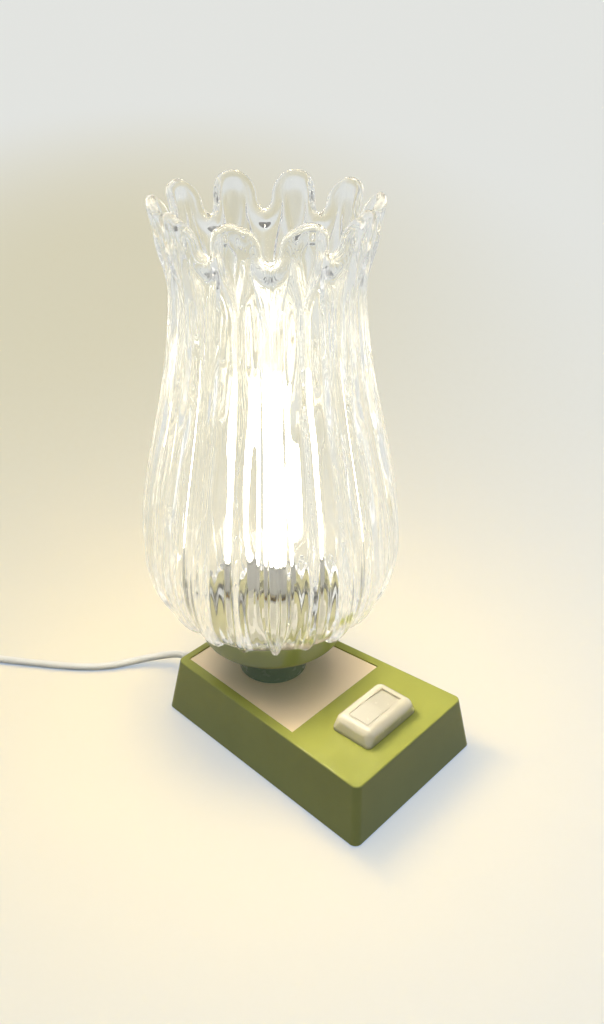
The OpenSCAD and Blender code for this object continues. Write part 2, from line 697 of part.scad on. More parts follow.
lead_r = 0.9;
lead_low_z = blade_low_z + 1.5;
lead_end_y = blade_w / 2 - switch_back + slip;
lead_top_z = insert_z - slip;
live_route = [[cord_x - 1.2, cord_inner_y - slip, cord_z], [-15.5, cord_inner_y - 6, 13], [-22, 34, 10.5],
    [-24, 8, lead_low_z], [-20, -18, lead_low_z], [-11, -36, lead_low_z],
    [contact_x, lead_end_y + 4, lead_low_z], [contact_x, lead_end_y, lead_low_z]];
switched_route = [[0, lead_end_y, lead_low_z], [0, lead_end_y + 4, lead_low_z], [5, -30, lead_low_z],
    [8, -5, 10], [5, 16, 13], [1.8, lamp_y - 5, 17], [1.6, lamp_y, 24], [1.6, lamp_y, 36],
    [1.6, lamp_y, tube_top_z - 2], [5, lamp_y, lead_top_z - 2], [5.6, lamp_y, lead_top_z]];
neutral_route = [[cord_x + 1.2, cord_inner_y - slip, cord_z], [-12, cord_inner_y - 5, 13.5],
    [-8, (cord_inner_y + lamp_y) / 2 - 0.8, 13.5],
    [-3.5, lamp_y + 4.5, 16], [-1.6, lamp_y + 0.6, 21], [-1.6, lamp_y, 28], [-1.6, lamp_y, tube_top_z - 2],
    [-5, lamp_y, lead_top_z - 2], [-5.6, lamp_y, lead_top_z]];

module inner_leads() {
    color([0.45, 0.30, 0.18]) tube(spline(live_route, 3), lead_r, 6);
    color([0.15, 0.15, 0.15]) tube(spline(switched_route, 3), lead_r, 6, [1, 0, 0]);
    color([0.20, 0.35, 0.65]) tube(spline(neutral_route, 3), lead_r, 6, [1, 0, 0]);
}

// Cord: a free stretch to a coil of two layers, with the plug on top of it

function unit(v) = v / norm(v);
function bend(p, i) = unit(p[min(i + 1, len(p) - 1)] - p[max(i - 1, 0)]);
function ring(p, i, r, sides, up) = let (t = bend(p, i), a = unit(cross(up, t)), b = cross(t, a))
    [for (k = [0 : sides - 1]) p[i] + r * (cos(360 * k / sides) * a + sin(360 * k / sides) * b)];
function catmull(a, b, c, d, t) = (2 * b + (c - a) * t + (2 * a - 5 * b + 4 * c - d) * t * t
    + (3 * b - a - 3 * c + d) * t * t * t) / 2;
function spline(p, steps) = let (n = len(p)) [for (i = [0 : n - 2], s = [0 : i == n - 2 ? steps : steps - 1])
    catmull(p[max(i - 1, 0)], p[i], p[i + 1], p[min(i + 2, n - 1)], s / steps)];

module tube(p, r, sides, up = [0, 0, 1]) {
    last = (len(p) - 1) * sides;
    points = [for (i = [0 : len(p) - 1]) each ring(p, i, r, sides, up)];
    skin = [for (i = [0 : len(p) - 2], k = [0 : sides - 1]) let (a = i * sides, k2 = (k + 1) % sides)
        each [[a + k, a + sides + k, a + sides + k2], [a + k, a + sides + k2, a + k2]]];
    ends = [for (k = [1 : sides - 2]) each [[0, k, k + 1], [last, last + k + 1, last + k]]];
    polyhedron(points, concat(skin, ends), convexity = 10);
}

tie_t = 0.6;
tie_gap = 0.3;
coil_z = cord_r + tie_t + tie_gap;
coil_out_r = coil_in_r + coil_step * coil_turns;
cord_from_y = spot_y + grommet_l - cord_seam + slip;
cord_route = [[cord_x, cord_from_y, cord_z], [cord_x, spot_y + grommet_l, cord_z], [-14.2, 106.6, 12.5],
    [-15.4, 111.4, 11.1], [-18.2, 116.6, 9.4], [-22.8, 122.4, 7.7], [-29.2, 128.8, 6], [-37, 135.4, 4.3],
    [-45.4, 142, 3], [-53.4, 149.2, 2.5], [-60.4, 156.6, 2.5], [-66.5, 164.4, 2.5], [-72.4, 172.8, 2.5],
    [-78, 181.4, 2.5], [-83.6, 190, 2.5], [-89.2, 198.6, 2.6], [-94.8, 207.2, 2.9], [-100.4, 215.8, 3.2],
    [-106, 224.4, coil_z], [-111.6, 233, coil_z], [-117.2, 241.6, coil_z]];
cord_last = len(cord_route) - 1;
cord_dir = unit(cord_route[cord_last] - cord_route[cord_last - 1]);
coil_start = atan2(cord_dir[1], cord_dir[0]) - 90;
coil_from = cord_route[cord_last] + cord_d * cord_dir;
coil_x = coil_from[0] - coil_out_r * cos(coil_start);
coil_y = coil_from[1] - coil_out_r * sin(coil_start);
inward = 360 * coil_turns;
turned = inward + 180;
outward = turned + inward;
climb = 70;
cross_over = 70;
approach = 60;
crossing = 14;
plug_gap = 0.4;
plug_z = coil_z + coil_step + cord_r + plug_gap + plug_t / 2;
tail_l = 8;
coil_tuck = 0.9;

function coil_radius(a) = a < inward ? coil_out_r - coil_step * a / 360 :
    a < turned ? coil_in_r - coil_tuck * sin(a - inward) :
    a < outward ? coil_in_r + coil_step * (a - turned) / 360 :
    coil_out_r + coil_tuck * sin(180 * clamp01((a - outward) / climb))
        - crossing * ease((a - outward - climb) / (cross_over + approach));
function coil_height(a) = coil_z + coil_step * (ease((a - inward) / 180) + ease((a - outward) / climb))
    + (plug_z - coil_z - 2 * coil_step) * ease((a - outward - climb - cross_over) / approach);
function coil_point(a) = let (r = coil_radius(a), turn = coil_start + a)
    [coil_x + r * cos(turn), coil_y + r * sin(turn), coil_height(a)];
coil_end = outward + climb + cross_over + approach;
coil_rings = floor(coil_end / 15);
coil_path = [for (i = [0 : coil_rings]) coil_point(coil_end * i / coil_rings)];
tail_dir = [-sin(coil_start + coil_end), cos(coil_start + coil_end), 0];
tail = coil_path[coil_rings] + [for (c = tail_dir) c * tail_l];
coil_line = concat([cord_route[cord_last]], coil_path, [tail]);
function length(p) = len(p) < 2 ? 0 : [for (i = 1, s = norm(p[1] - p[0]); i < len(p);
    i = i + 1, s = s + (i < len(p) ? norm(p[i] - p[i - 1]) : 0)) s][len(p) - 2];
function least_gap(p, apart) = min([for (i = [0 : len(p) - 1 - apart], j = [i + apart : len(p) - 1])
    norm(p[i] - p[j])]) - cord_d;

module cord() color(white) tube(spline(cord_route, 2), cord_r, 8);

module cord_coil() {
    echo(least_gap_in_the_coil = least_gap(coil_line, 12));
    echo(cord_length = cord_from_y - spot_y + length(spline(cord_route, 4))
        + length(coil_line));
    color(white) tube(coil_line, cord_r, 6);
}

// Tie: a flat loop round both layers, ahead of the plug
tie_turn = 122;
module coil_tie() color(white) translate([coil_x, coil_y, 0]) rotate(coil_start + coil_end + tie_turn) {
    low_r = coil_in_r - coil_tuck - cord_r - tie_gap;
    high_r = coil_out_r + cord_r + tie_gap;
    high_z = coil_z + coil_step + cord_r + tie_gap;
    rotate([90, 0, 0]) translate([0, 0, -tie_w / 2]) linear_extrude(tie_w) difference() {
        translate([low_r - tie_t, 0]) square([high_r - low_r + 2 * tie_t, high_z + tie_t]);
        translate([low_r, tie_t]) square([high_r - low_r, high_z - tie_t]);
    }
}

plug_relief_l = 15;
pin_pitch = 19;
plug_pin_l = 19;
plug_pin_r = 2;
module on_plug() translate(tail) rotate(coil_start + coil_end + 90) children();

module plug_body() color(white) on_plug() {
    rotate([0, 90, 0]) cylinder(r1 = cord_r + 1, r2 = cord_r + 2.6, h = plug_relief_l + 1);
    translate([plug_relief_l, 0, -plug_t / 2]) linear_extrude(plug_t)
        polygon([[0, -7], [plug_l * 0.45, -plug_w / 2], [plug_l, -plug_w / 2], [plug_l, plug_w / 2],
            [plug_l * 0.45, plug_w / 2], [0, 7]]);
}

module plug_pins() color(steel) on_plug() for (s = [-1, 1])
    translate([plug_relief_l + plug_l, s * pin_pitch / 2, 0]) rotate([0, 90, 0]) {
        cylinder(r = plug_pin_r, h = plug_pin_l - plug_pin_r);
        translate([0, 0, plug_pin_l - plug_pin_r]) sphere(plug_pin_r);
    }

base_shell();
bottom_plate();
bottom_screws();
base_felt();
inset_plate();
neck_sleeve();
shade_dish();
seat_ring();
glass_shade();
threaded_tube();
tube_washer();
tube_nut();
holder_base();
holder_shell();
holder_insert();
screw_sleeve();
centre_contact();
ring_nut();
bulb_tube();
bulb_housing();
bulb_cap();
cap_insulator();
cap_contact();
switch_frame();
switch_body();
switch_rocker();
rocker_pin();
rocker_plunger();
plunger_spring();
contact_lever();
lever_bracket();
fixed_contact();
cord_grommet();
cord_inner();
cord_clamp();
clamp_screws();
inner_leads();
cord();
cord_coil();
coil_tie();
plug_body();
plug_pins();
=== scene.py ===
"""Table lamp with a pressed-glass tulip shade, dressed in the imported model's frame, in metres."""

import logging
import math
from dataclasses import dataclass
from enum import Enum

import bpy
import numpy as np
from mathutils import Matrix, Vector


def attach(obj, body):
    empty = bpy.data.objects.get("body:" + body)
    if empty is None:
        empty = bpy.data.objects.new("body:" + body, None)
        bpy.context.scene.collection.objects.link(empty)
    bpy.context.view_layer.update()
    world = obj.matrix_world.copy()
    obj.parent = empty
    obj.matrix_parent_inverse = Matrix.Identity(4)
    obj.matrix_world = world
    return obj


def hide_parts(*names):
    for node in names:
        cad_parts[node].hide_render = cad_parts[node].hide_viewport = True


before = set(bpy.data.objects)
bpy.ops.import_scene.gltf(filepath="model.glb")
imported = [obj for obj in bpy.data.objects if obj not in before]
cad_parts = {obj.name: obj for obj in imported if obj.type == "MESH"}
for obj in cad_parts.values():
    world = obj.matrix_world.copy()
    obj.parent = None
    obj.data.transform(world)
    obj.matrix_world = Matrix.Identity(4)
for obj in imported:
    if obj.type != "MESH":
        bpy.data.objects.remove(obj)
LOG = logging.getLogger("table_lamp")
MM = 0.001
# The lamp's upright axis stands at x = 0 and this y, in millimetres.
AXIS_Y = 32.5
# Edges over this angle, in degrees, are shown sharp.
SHARP = 35.0
RANGE_SOCKETS = ("From Min", "From Max", "To Min", "To Max")
Pair = tuple[float, float]
Colour = tuple[float, float, float]
Point = tuple[float, float, float]
Stops = tuple[tuple[float, Colour], ...]
Waves = tuple[tuple[float, ...], ...]
Socket = bpy.types.NodeSocket


class Body(Enum):
    """The rigid bodies that new pieces ride on."""

    BASE = "lamp_base"
    SHADE = "shade"
    BULB = "bulb"


# Mesh helpers


def grid_faces(rows: int, cols: int, wrap_rows: bool, wrap_cols: bool) -> np.ndarray:
    """Quads of a grid of rows by cols points, closed along either direction if asked.

    Args:
        rows: points along the first direction.
        cols: points along the second direction.
        wrap_rows: joins the last row to the first.
        wrap_cols: joins the last column to the first.

    Returns:
        Vertex numbers, four to a face.
    """
    i = np.arange(rows if wrap_rows else rows - 1)[:, None]
    j = np.arange(cols if wrap_cols else cols - 1)[None, :]
    i2, j2 = (i + 1) % rows, (j + 1) % cols
    return np.stack([i * cols + j, i * cols + j2, i2 * cols + j2, i2 * cols + j], -1).reshape(-1, 4)


def mesh_object(name: str, verts: np.ndarray, faces: list[list[int]], sharp_deg: float) -> bpy.types.Object:
    """A smooth-shaded mesh object at the origin, with edges over an angle kept sharp.

    Args:
        name: the piece's name.
        verts: points in metres, one to a row.
        faces: vertex numbers of each face.
        sharp_deg: angle over which an edge is shown sharp.

    Returns:
        The new object, linked to the scene.
    """
    mesh = bpy.data.meshes.new(name)
    mesh.from_pydata(verts.tolist(), [], faces)
    mesh.validate()
    mesh.shade_smooth()
    mesh.set_sharp_from_angle(angle=math.radians(sharp_deg))
    obj = bpy.data.objects.new(name, mesh)
    bpy.context.scene.collection.objects.link(obj)
    return obj


def grid_object(name: str, points: np.ndarray, wrap_rows: bool = False, wrap_cols: bool = True,
                caps: bool = False, sharp_deg: float = SHARP) -> bpy.types.Object:
    """A mesh object from a grid of points.

    Args:
        name: the piece's name.
        points: array of rows by columns by 3, in metres.
        wrap_rows: closes the rows into a ring.
        wrap_cols: closes the columns into a ring.
        caps: closes the first and last row with one face each.
        sharp_deg: angle over which an edge is shown sharp.

    Returns:
        The new object.
    """
    rows, cols = points.shape[:2]
    faces = grid_faces(rows, cols, wrap_rows, wrap_cols).tolist()
    if caps:
        faces.append(list(range(cols))[::-1])
        faces.append(list(range((rows - 1) * cols, rows * cols)))
    return mesh_object(name, points.reshape(-1, 3), faces, sharp_deg)


def rounded(corners: list[tuple[float, float, float]], steps: int = 8) -> np.ndarray:
    """A closed outline with rounded corners: each corner is an arc tangent to both of its sides.

    Args:
        corners: (r, z, radius) of each corner in order, in millimetres.
        steps: points along each arc.

    Returns:
        Points (r, z) in metres, one to a row.
    """
    c = np.array(corners, float)
    p, rad = c[:, :2], c[:, 2:]
    a = np.roll(p, 1, 0) - p
    b = np.roll(p, -1, 0) - p
    a /= np.linalg.norm(a, axis=1, keepdims=True)
    b /= np.linalg.norm(b, axis=1, keepdims=True)
    half = np.arccos(np.clip((a * b).sum(1, keepdims=True), -1, 1)) / 2
    mid = a + b
    mid /= np.maximum(np.linalg.norm(mid, axis=1, keepdims=True), 1e-9)
    centre = p + mid * rad / np.sin(half)
    start = p + a * rad / np.tan(half) - centre
    end = p + b * rad / np.tan(half) - centre
    t = np.linspace(0, 1, steps)[None, :, None]
    omega = np.maximum(np.pi - 2 * half, 1e-6)[:, None]
    arc = (np.sin((1 - t) * omega) * start[:, None] + np.sin(t * omega) * end[:, None]) / np.sin(omega)
    return ((centre[:, None] + arc).reshape(-1, 2)) * MM


def turned(name: str, profile: np.ndarray, segments: int) -> bpy.types.Object:
    """A closed outline turned about the lamp's axis: (r cos a, r sin a, z) for each outline point (r, z).

    Args:
        name: the piece's name.
        profile: closed outline (r, z) in metres.
        segments: steps round the axis.

    Returns:
        The new object.
    """
    a = np.linspace(0, 2 * np.pi, segments, endpoint=False)[None, :]
    r, z = profile[:, :1], profile[:, 1:]
    pts = np.stack([r * np.cos(a), AXIS_Y * MM + r * np.sin(a), z + 0 * a], -1)
    return outward(grid_object(name, pts, wrap_rows=True))


def outward(obj: bpy.types.Object) -> bpy.types.Object:
    """Turns all faces of a closed mesh outwards, by the sign of its volume.

    Args:
        obj: the mesh object.

    Returns:
        The same object.
    """
    mesh = obj.data
    mesh.calc_loop_triangles()
    v = np.empty(len(mesh.vertices) * 3)
    mesh.vertices.foreach_get("co", v)
    v = v.reshape(-1, 3)
    t = np.empty(len(mesh.loop_triangles) * 3, int)
    mesh.loop_triangles.foreach_get("vertices", t)
    a, b, c = (v[t.reshape(-1, 3)[:, k]] for k in range(3))
    if (a * np.cross(b, c)).sum() < 0:
        mesh.flip_normals()
    return obj


def swept(name: str, path: np.ndarray, radius: np.ndarray, sides: int) -> bpy.types.Object:
    """A round tube along a path: rings of a radius across the path's direction, capped at both ends.

    Args:
        name: the piece's name.
        path: points in metres, one to a row.
        radius: tube radius at each point, in metres.
        sides: points in a ring.

    Returns:
        The new object.
    """
    t = np.gradient(path, axis=0)
    t /= np.linalg.norm(t, axis=1, keepdims=True)
    side = np.cross(np.array([0.0, 0.0, 1.0]), t)
    side /= np.linalg.norm(side, axis=1, keepdims=True)
    up = np.cross(t, side)
    a = np.linspace(0, 2 * np.pi, sides, endpoint=False)[None, :, None]
    pts = path[:, None] + radius[:, None, None] * (np.cos(a) * side[:, None] + np.sin(a) * up[:, None])
    return outward(grid_object(name, pts, caps=True))


def catmull(points: np.ndarray, steps: int) -> np.ndarray:
    """A Catmull-Rom curve through the points, with the given steps between neighbours.

    Args:
        points: points to pass through, one to a row.
        steps: steps from one point to the next.

    Returns:
        Points along the curve.
    """
    q = np.concatenate([points[:1], points, points[-1:]])
    t = (np.arange(steps) / steps)[None, :, None]
    a, b, c, d = (q[k:k + len(points) - 1][:, None] for k in range(4))
    seg = (2 * b + (c - a) * t + (2 * a - 5 * b + 4 * c - d) * t ** 2 + (3 * b - a - 3 * c + d) * t ** 3) / 2
    return np.concatenate([seg.reshape(-1, 3), points[-1:]])


def ease(x: np.ndarray) -> np.ndarray:
    """Smooth step from 0 to 1: 3x^2 - 2x^3 between 0 and 1."""
    c = np.clip(x, 0, 1)
    return c * c * (3 - 2 * c)


def band(z: np.ndarray, low: float, rise: float, high: float, fall: float) -> np.ndarray:
    """Share of an effect between two heights: a smooth step up times a smooth step down.

    Args:
        z: heights.
        low: height where the effect starts.
        rise: height over which it grows.
        high: height where it is gone.
        fall: height over which it fades.

    Returns:
        The share, from 0 to 1.
    """
    return ease((z - low) / rise) * ease((high - z) / fall)


# Finishes


class Sketch:
    """A material's node tree, with short calls for adding and joining nodes."""

    def __init__(self, name: str) -> None:
        """Starts a material with a principled shader on its output.

        Args:
            name: the material's name.
        """
        self.material = bpy.data.materials.new(name)
        self.material.use_nodes = True
        self.tree = self.material.node_tree
        self.shader = self.tree.nodes["Principled BSDF"]
        self.coords = self.tree.nodes.new("ShaderNodeTexCoord").outputs["Object"]

    def join(self, source: Socket, target: Socket) -> None:
        """Links one socket to another."""
        self.tree.links.new(source, target)

    def stretch(self, scale: Point) -> Socket:
        """Object coordinates, scaled.

        Args:
            scale: factors along X, Y and Z.

        Returns:
            The scaled coordinates.
        """
        node = self.tree.nodes.new("ShaderNodeMapping")
        node.inputs["Scale"].default_value = scale
        self.join(self.coords, node.inputs["Vector"])
        return node.outputs["Vector"]

    def seen_from(self, centre: Point, turn: float = 0.0, size: Point = (1.0, 1.0, 1.0)) -> Socket:
        """Object coordinates in a frame of their own.

        Args:
            centre: the frame's origin.
            turn: its turn about Z in radians.
            size: its units along X, Y and Z.

        Returns:
            The coordinates in that frame.
        """
        node = self.tree.nodes.new("ShaderNodeMapping")
        node.vector_type = "TEXTURE"
        node.inputs["Location"].default_value = centre
        node.inputs["Rotation"].default_value = (0.0, 0.0, turn)
        node.inputs["Scale"].default_value = size
        self.join(self.coords, node.inputs["Vector"])
        return node.outputs["Vector"]

    def length(self, vector: Socket) -> Socket:
        """How long a vector is.

        Args:
            vector: the vector.

        Returns:
            Its length.
        """
        node = self.tree.nodes.new("ShaderNodeVectorMath")
        node.operation = "LENGTH"
        self.join(vector, node.inputs[0])
        return node.outputs["Value"]

    def noise(self, scale: float, detail: float = 3.0, coords: Socket | None = None) -> Socket:
        """A noise pattern of so many lumps a metre.

        Args:
            scale: lumps a metre.
            detail: octaves of finer noise.
            coords: coordinates to use in place of the object's.

        Returns:
            The noise from 0 to 1.
        """
        node = self.tree.nodes.new("ShaderNodeTexNoise")
        node.inputs["Scale"].default_value = scale
        node.inputs["Detail"].default_value = detail
        self.join(coords or self.coords, node.inputs["Vector"])
        return node.outputs["Fac"]

    def range(self, source: Socket, low: float, high: float, start: float = 0.3, end: float = 0.7) -> Socket:
        """Spreads a pattern between two numbers.

        Args:
            source: the pattern.
            low: number at the pattern's start value.
            high: number at the pattern's end value.
            start: pattern value that gives low.
            end: pattern value that gives high.

        Returns:
            The number over the surface.
        """
        node = self.tree.nodes.new("ShaderNodeMapRange")
        for socket, value in zip(RANGE_SOCKETS, (start, end, low, high)):
            node.inputs[socket].default_value = value
        self.join(source, node.inputs["Value"])
        return node.outputs["Result"]

    def blend(self, factor: Socket, first: Colour, second: Colour) -> Socket:
        """Mixes two colours by a pattern.

        Args:
            factor: the pattern, 0 for the first colour.
            first: linear colour.
            second: linear colour.

        Returns:
            The colour over the surface.
        """
        node = self.tree.nodes.new("ShaderNodeMix")
        node.data_type = "RGBA"
        node.inputs["A"].default_value = (*first, 1)
        node.inputs["B"].default_value = (*second, 1)
        self.join(factor, node.inputs["Factor"])
        return node.outputs["Result"]

    def bump(self, height: Socket, depth: float, strength: float = 1.0) -> None:
        """Raises the surface by a pattern.

        Args:
            height: the pattern.
            depth: height of the pattern in metres.
            strength: share of the effect.
        """
        node = self.tree.nodes.new("ShaderNodeBump")
        node.inputs["Strength"].default_value = strength
        node.inputs["Distance"].default_value = depth
        self.join(height, node.inputs["Height"])
        self.join(node.outputs["Normal"], self.shader.inputs["Normal"])

    def set(self, **values: float | tuple[float, ...]) -> None:
        """Sets plain values on the shader, with underscores for spaces in a socket's name."""
        for key, value in values.items():
            self.shader.inputs[key.replace("_", " ")].default_value = value


@dataclass(frozen=True)
class Finish:
    """A finish with a colour that drifts to a second one, and a roughness that varies in finer patches."""

    name: str
    slot: str
    colour: Colour
    drift: Colour
    roughness: Pair
    patch: float = 40.0
    patch_detail: float = 4.0
    smudges: float = 6.0

    def title(self) -> str:
        """The material's name, apart from the frame's own materials."""
        return f"{self.name}_finish"

    def start(self) -> Sketch:
        """The finish's colour and roughness as nodes.

        Returns:
            The material's sketch.
        """
        s = Sketch(self.title())
        patches = s.noise(self.patch, self.patch_detail)
        s.join(s.blend(s.range(patches, 0, 1), self.colour, self.drift), s.shader.inputs["Base Color"])
        s.join(s.range(s.noise(self.patch * self.smudges), *self.roughness), s.shader.inputs["Roughness"])
        return s

    def material(self) -> bpy.types.Material:
        """The finished material."""
        return self.start().material

    def dress(self, *objs: bpy.types.Object) -> None:
        """Puts the finish on pieces.

        Args:
            objs: mesh objects.
        """
        made = bpy.data.materials.get(self.title()) or self.material()
        for obj in objs:
            obj.data.materials.clear()
            obj.data.materials.append(made)

    def dress_nodes(self, *names: str) -> None:
        """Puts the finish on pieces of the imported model."""
        self.dress(*(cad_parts[name] for name in names))


@dataclass(frozen=True)
class Moulded(Finish):
    """Moulded plastic or rubber: a fine grain, a clear coat, and light that passes under the surface."""

    grain: float = 2600.0
    grain_detail: float = 2.0
    grain_share: float = 0.35
    depth: float = 0.00003
    gloss: float = 0.5
    coat: float = 0.0
    coat_roughness: float = 0.02
    glow_depth: float = 0.0
    glow_share: float = 0.8

    def material(self) -> bpy.types.Material:
        """The finished material, which lets light in only where it has a glow depth.

        Returns:
            The material.
        """
        s = self.start()
        s.bump(s.noise(self.grain, self.grain_detail), self.depth, self.grain_share)
        s.set(Specular_IOR_Level=self.gloss, Coat_Weight=self.coat, Coat_Roughness=self.coat_roughness)
        if self.glow_depth:
            s.set(Subsurface_Weight=self.glow_share, Subsurface_Scale=self.glow_depth,
                  Subsurface_Radius=(1.0, 1.0, 1.0))
        return s.material


@dataclass(frozen=True)
class Lined(Moulded):
    """Moulded plastic with a duller inside: nearer to the lamp's axis than a radius, and over a height."""

    lining: Colour = (0.37, 0.36, 0.19)
    within: float = 0.0435
    above: float = 0.068
    edge: float = 0.0003

    def start(self) -> Sketch:
        """The finish's colour and roughness as nodes, with the lining mixed in.

        Returns:
            The material's sketch.
        """
        s = super().start()
        nodes = s.tree.nodes
        split = nodes.new("ShaderNodeSeparateXYZ")
        s.join(s.seen_from((0.0, AXIS_Y * MM, 0.0)), split.inputs["Vector"])
        flat = nodes.new("ShaderNodeCombineXYZ")
        for side in ("X", "Y"):
            s.join(split.outputs[side], flat.inputs[side])
        away = s.length(flat.outputs["Vector"])
        near = s.range(away, 1, 0, self.within - self.edge, self.within + self.edge)
        high = s.range(split.outputs["Z"], 0, 1, self.above - self.edge, self.above + self.edge)
        both = nodes.new("ShaderNodeMath")
        both.operation = "MULTIPLY"
        s.join(near, both.inputs[0])
        s.join(high, both.inputs[1])
        paint = s.shader.inputs["Base Color"].links[0].from_socket
        mixed = s.blend(both.outputs["Value"], self.colour, self.lining)
        s.join(paint, mixed.node.inputs["A"])
        s.join(mixed, s.shader.inputs["Base Color"])
        return s


@dataclass(frozen=True)
class Brushed(Finish):
    """Metal with fine brush lines along one direction."""

    lines: Point = (2500.0, 30.0, 2500.0)
    line_share: float = 0.4
    depth: float = 0.00002
    metal: float = 1.0

    def material(self) -> bpy.types.Material:
        """The finished material.

        Returns:
            The material.
        """
        s = self.start()
        s.bump(s.noise(1.0, coords=s.stretch(self.lines)), self.depth, self.line_share)
        s.set(Metallic=self.metal)
        return s.material


@dataclass(frozen=True)
class ClearGlass(Finish):
    """Clear glass with a faint tint."""

    index: float = 1.5
    clear: float = 0.994

    def material(self) -> bpy.types.Material:
        """The finished material.

        Returns:
            The material.
        """
        s = self.start()
        s.set(Transmission_Weight=self.clear, IOR=self.index)
        return s.material


@dataclass(frozen=True)
class Glow(Finish):
    """The lit tube of the bulb: white glass that gives light."""

    light: Colour = (1.0, 0.9, 0.72)
    strength: float = 30.0

    def material(self) -> bpy.types.Material:
        """The finished material.

        Returns:
            The material.
        """
        s = self.start()
        s.set(Emission_Color=(*self.light, 1), Emission_Strength=self.strength)
        return s.material


@dataclass(frozen=True)
class Felted(Finish):
    """Pressed felt: short crossing fibres."""

    fibres: float = 3500.0
    fibre_detail: float = 6.0
    fibre_depth: float = 0.0003
    fibre_share: float = 0.8
    sheen: float = 0.3

    def material(self) -> bpy.types.Material:
        """The finished material.

        Returns:
            The material.
        """
        s = self.start()
        s.bump(s.noise(self.fibres, self.fibre_detail), self.fibre_depth, self.fibre_share)
        s.set(Sheen_Weight=self.sheen)
        return s.material


GREEN = Moulded("olive_plastic", "green_plastic", (0.365, 0.375, 0.082), (0.335, 0.345, 0.075),
                (0.05, 0.09), 30.0, gloss=0.2, coat=0.1)
DISH_GREEN = Lined("dish_plastic", "green_plastic", (0.345, 0.385, 0.10), (0.315, 0.355, 0.09),
                   (0.05, 0.09), 30.0, coat=0.3)
DARK_GREEN = Moulded("dark_olive_plastic", "dark_green_plastic", (0.19, 0.29, 0.18), (0.165, 0.26, 0.16),
                     (0.2, 0.3), coat=0.6)
CREAM = Moulded("cream_plastic", "cream_plastic", (0.80, 0.71, 0.51), (0.77, 0.68, 0.48), (0.2, 0.28), 60.0,
                coat=1.0, glow_depth=0.010)
BLACK = Moulded("black_plastic", "black_plastic", (0.012, 0.012, 0.012), (0.02, 0.02, 0.02), (0.4, 0.55))
WHITE = Moulded("white_plastic", "white_plastic", (0.80, 0.79, 0.74), (0.76, 0.75, 0.69), (0.35, 0.45), 80.0)
SHEATH = Moulded("cord_sheath", "white_plastic", (0.95, 0.88, 0.72), (0.92, 0.85, 0.69), (0.4, 0.5), 80.0,
                 glow_depth=0.008)
GREY = Moulded("housing_plastic", "white_plastic", (0.42, 0.42, 0.41), (0.38, 0.38, 0.37), (0.35, 0.45),
               80.0)
RUBBER = Moulded("seat_rubber", "rubber", (0.02, 0.02, 0.02), (0.03, 0.03, 0.03), (0.6, 0.75))
BRONZE = Brushed("bronze_plate", "bronze_plate", (0.98, 0.79, 0.52), (0.95, 0.76, 0.49), (0.28, 0.36), 25.0,
                 metal=0.1)
STEEL = Brushed("brushed_steel", "steel", (0.56, 0.56, 0.55), (0.5, 0.5, 0.49), (0.28, 0.4))
BRASS = Brushed("contact_brass", "brass", (0.75, 0.55, 0.22), (0.68, 0.48, 0.18), (0.22, 0.35))
GLASS = ClearGlass("clear_glass", "clear_glass", (0.966, 0.972, 0.965), (0.956, 0.963, 0.953), (0.0, 0.004))
LIT = Glow("lit_tube", "frosted_glass", (0.95, 0.94, 0.9), (0.93, 0.92, 0.88), (0.4, 0.5))
FELT = Felted("base_felt_pile", "felt", (0.02, 0.03, 0.015), (0.03, 0.04, 0.02), (0.9, 1.0), 200.0)


# Studio


